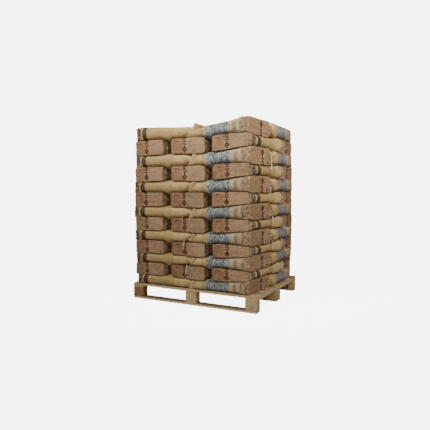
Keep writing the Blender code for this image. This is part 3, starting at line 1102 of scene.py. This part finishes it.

# %% [markdown]
# ## The load, layer by layer
# Each layer is one piece of five sacks and stands for one node of the imported model. Not all sacks lie
# the same way on the real load, so the prints of some are shifted along the sack or mirrored. Where the
# two front sacks of an odd layer meet, their gathered ends leave a corner of stiff paper standing out:
# an ear. It is a bent flap, thin but closed, with painted light at one edge and painted shade towards the
# other, and it belongs to its layer's mesh.

# %% Paper ears
EAR_PAPER = 0.0009
EAR_STEPS = (6, 5)
EAR_LEAN, EAR_BOW, EAR_TUCK, EAR_GAP = 0.016, 0.008, 0.010, 0.002
# tone across an ear, from painted light at one edge to painted shade at the other
EAR_PAINTED_LIGHT_AND_SHADE = np.linspace(1.5, -0.3, EAR_STEPS[1] + 1)
EAR_PRINT_PLACE = (0.52, 0.0, 0.05)
# corners of the flap, in metres from the joint above: x, height; top layer first, then the others
TOP_EAR = ((-0.012, -0.066), (0.050, 0.028), (0.133, -0.004), (0.076, -0.040))
LOW_EAR = ((-0.016, -0.088), (0.034, -0.001), (0.078, -0.012), (0.040, -0.078))


def closed_sheet(grid, thickness):
    """Points and faces of a thin closed sheet: a grid of points, and the same grid moved by thickness."""
    rows, columns = grid.shape[:2]
    outer = grid.reshape(-1, 3)
    faces = []
    for row in range(rows - 1):
        for column in range(columns - 1):
            first = row * columns + column
            quad = (first, first + 1, first + columns + 1, first + columns)
            faces.append(quad[::-1])
            faces.append(tuple(len(outer) + corner for corner in quad))
    end = rows * columns - 1
    rim = [*range(columns - 1), *range(columns - 1, end, columns), *range(end, end - columns + 1, -1),
           *range(end - columns + 1, 0, -columns)]
    for one, two in zip(rim, rim[1:] + rim[:1]):
        faces.append((one, two, len(outer) + two, len(outer) + one))
    return np.concatenate([outer, outer + thickness]), faces


def ear(number):
    """The folded paper ear in front of the seam of an odd layer."""
    shakes = random.Random(300 + number)
    corners = TOP_EAR if number == LAYERS else LOW_EAR
    size = 1.0 if number == LAYERS else shakes.uniform(0.75, 1.15)
    corners = [(x * size + shakes.uniform(-0.004, 0.004), z * size) for x, z in corners]
    joint = float(joint_height(number, 0.045, -0.49))
    steps = [np.linspace(0.0, 1.0, count + 1) for count in EAR_STEPS]
    s, t = np.meshgrid(*steps, indexing="ij")
    x, z = np.moveaxis(np.stack([(1 - s) * (1 - t), s * (1 - t), s * t, (1 - s) * t], 2) @ corners, 2, 0)
    curl = EAR_LEAN * s + EAR_BOW * np.sin(math.pi * t) - EAR_TUCK * t
    return closed_sheet(np.stack([x, FRONT_FACE_Y - EAR_GAP - curl, joint + z], 2), (0, EAR_PAPER, 0))


print("one ear:", len(ear(LAYERS)[0]), "points")

# %% Build the layers


def print_shift(number, place):
    """Shift of the prints along a sack, and -1 where they are seen in mirror image."""
    if number % 2 and place == 0:
        return 0.044, 1
    if number % 2 and place == 2:
        return -0.075, 1
    if number % 2 == 0 and place in (0, 1):
        return 0.0, -1
    return 0.0, 1


def set_values(mesh, name, kind, slot, values):
    mesh.attributes.new(name, kind, "POINT").data.foreach_set(slot, np.asarray(values, np.float32).ravel())


seam_ring = next(number for number in range(RINGS) if ring_part(number) > 0.982) * AROUND
SEAM_ROW = slice(seam_ring + ACROSS // 2 + UP, seam_ring + ACROSS // 2 + UP + ACROSS + 1)
seam_rows = []


def build_layer(number):
    tones = random.Random(900 + number)
    points, papers, tone_values, turned_values, faces, finishes = [], [], [], [], [], []
    for place, (origin, heading, width) in enumerate(layer_places(number)):
        laid, paper, mirrored = lay_sack(number, place, origin, heading, width)
        along_shift, side = print_shift(number, place)
        paper = paper * (1, side, 1) + (along_shift, 0, 0)
        start = place * len(laid)
        order = -1 if mirrored else 1
        faces += [tuple(start + corner for corner in face[::order]) for face in FACES]
        finishes += FINISHES
        points.append(laid)
        papers.append(paper)
        if heading[0] or number == LAYERS:
            seam_rows.append(laid[SEAM_ROW])
        tone_values.append(np.full(len(laid), tones.uniform(0.0, 1.0)))
        turned_values.append(np.full(len(laid), float(number % 2 and place < 2)))
    if number % 2:
        ear_points, ear_faces = ear(number)
        start = sum(len(laid) for laid in points)
        faces += [tuple(start + corner for corner in face) for face in ear_faces]
        finishes += [0] * len(ear_faces)
        points.append(ear_points)
        papers.append(np.tile(EAR_PRINT_PLACE, (len(ear_points), 1)))
        # the ear's tone carries painted light at one edge and painted shade towards the other
        tone_values.append(np.tile(EAR_PAINTED_LIGHT_AND_SHADE, 2 * (EAR_STEPS[0] + 1)))
        turned_values.append(np.zeros(len(ear_points)))
    mesh = bpy.data.meshes.new(f"sacks_layer_{number:02d}")
    mesh.from_pydata(np.concatenate(points).tolist(), [], faces)
    set_values(mesh, "paper_place", "FLOAT_VECTOR", "vector", np.concatenate(papers))
    set_values(mesh, "sack_tone", "FLOAT", "value", np.concatenate(tone_values))
    set_values(mesh, "end_turned", "FLOAT", "value", np.concatenate(turned_values))
    for paper in SACK_PAPERS:
        mesh.materials.append(paper)
    mesh.polygons.foreach_set("material_index", finishes)
    mesh.shade_smooth()
    layer = new_object(f"sacks_layer_{number:02d}", mesh)
    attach(layer, "root")
    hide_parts(f"sack_layer_{number:02d}")
    return layer


layers = [build_layer(number) for number in range(1, LAYERS + 1)]
print(len(layers), "layers,", sum(len(layer.data.polygons) for layer in layers), "faces")

# %% [markdown]
# ## Stitches and tape tails
# The sewn ends are closed with a chain stitch of white thread. The rod tree from the nails sets one
# stitch between every two points of the seam rows that can be seen. The crepe tape over a seam is cut
# off carelessly, so a few tails of it hang down from the seams over the sacks below. Each is a narrow
# strip that swings and turns a little, and all are cut from one strip of tape.

# %% Stitches
thread, shader, room = new_material("cotton thread")
twist = room.noise(900.0)
set_inputs(shader, Base_Color=twist.between(paint(226, 220, 204), paint(190, 180, 158)),
           Roughness=twist * 0.2 + 0.65)
STITCH_LENGTH = 0.0070
STITCH_RADIUS = 0.0008
stitch_spots, stitch_ways = [], []
for row in seam_rows:
    for one, two in zip(row, row[1:]):
        way = (two - one) / np.linalg.norm(two - one)
        stitch_spots.append((one + two) / 2 + (0, 0, 0.5 * STITCH_RADIUS))
        stitch_ways.append(way)
rods_on("seam_stitches", stitch_spots, stitch_ways,
        {"Radius": STITCH_RADIUS, "Height": STITCH_LENGTH, "Sides": 6, "Finish": thread})
print(len(stitch_spots), "stitches on", len(seam_rows), "seams")

# %% Tape tails
TAPE_WIDTH, TAPE_THICKNESS = 0.010, 0.0006
TAIL_STEPS = 10
TAIL_SWAY, TAIL_BULGE, TAIL_TUCK = 0.0025, 0.0015, 0.012
TAIL_TURN, TAIL_TWIST = 0.45, 0.30
X_WAY, Y_WAY, Z_WAY = np.identity(3)
# each tail: place along its side of the load, height of its upper end, length, swing to the side
FRONT_TAILS = ((-0.081, 1.150, 0.056, 0.020), (-0.081, 0.745, 0.080, 0.0), (-0.067, 0.543, 0.080, 0.004),
               (-0.042, 0.342, 0.090, -0.004))
SIDE_TAILS = ((-0.165, 1.290, 0.150, 0.004), (-0.182, 0.999, 0.062, 0.002), (-0.117, 0.754, 0.090, 0.012),
              (-0.112, 0.542, 0.074, -0.006), (-0.095, 0.324, 0.066, 0.004), (0.166, 0.842, 0.068, -0.014),
              (0.186, 0.640, 0.084, 0.006), (0.106, 0.547, 0.076, 0.006), (0.192, 0.410, 0.050, 0.0),
              (0.140, 0.325, 0.074, -0.006))
FRONT_TAIL_Y, SIDE_TAIL_X = FRONT_FACE_Y - 0.004, 0.590


def tail_strip(way_out, sideways, middle, top, length, swing):
    """One strip of tape that hangs down from `top`."""
    part = np.linspace(0.0, 1.0, TAIL_STEPS + 1)[:, None]
    centre = sideways * (middle + swing * part ** 1.5 + TAIL_SWAY * np.sin(5 * part))
    out = way_out * (TAIL_BULGE * np.sin(math.pi * part) - TAIL_TUCK * (1 - part) ** 6)
    turn = TAIL_TURN + TAIL_TWIST * np.sin(2.4 * part + 9 * top)
    half = (sideways * np.cos(turn) + way_out * np.sin(turn)) * TAPE_WIDTH / 2
    thick = way_out * TAPE_THICKNESS
    place = centre + out - thick / 2 + (top - part * length) * Z_WAY
    return closed_sheet(np.stack([place - half, place + half], 1), thick)


tail_points, tail_faces, tail_length = [], [], 0.0
for base, way_out, sideways, tails in ((Y_WAY * FRONT_TAIL_Y, -Y_WAY, X_WAY, FRONT_TAILS),
                                       (X_WAY * SIDE_TAIL_X, X_WAY, Y_WAY, SIDE_TAILS)):
    for middle, top, length, swing in tails:
        points, faces = tail_strip(way_out, sideways, middle, top, length, swing)
        tail_faces += [tuple(len(tail_points) + corner for corner in face) for face in faces]
        tail_points += [tuple(point + base) for point in points]
        tail_length += length
tail_mesh = bpy.data.meshes.new("tape_tails")
tail_mesh.from_pydata(tail_points, [], tail_faces)
tail_shape = bmesh.new()
tail_shape.from_mesh(tail_mesh)
bmesh.ops.recalc_face_normals(tail_shape, faces=tail_shape.faces)
tail_shape.to_mesh(tail_mesh)
tail_shape.free()
crepe, shader, room = new_material("loose crepe tape")
ribs = room.ribs("Z")
set_inputs(shader, Base_Color=ribs.between(paint(204, 188, 156), paint(184, 164, 130)),
           Roughness=ribs * 0.15 + 0.7)
tail_mesh.materials.append(crepe)
tape_tails = new_object("tape_tails", tail_mesh)
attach(tape_tails, "root")
print(len(FRONT_TAILS) + len(SIDE_TAILS), "tails,", round(tail_length, 3), "m of tape")

# %% [markdown]
# ## The size of the load
# The box round everything that is rendered is printed at the end. The visual model has to stay as large
# as the imported one.

# %% Sizes and the end
low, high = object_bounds()
print("visual box", [round(v, 3) for v in (*low, *high)])
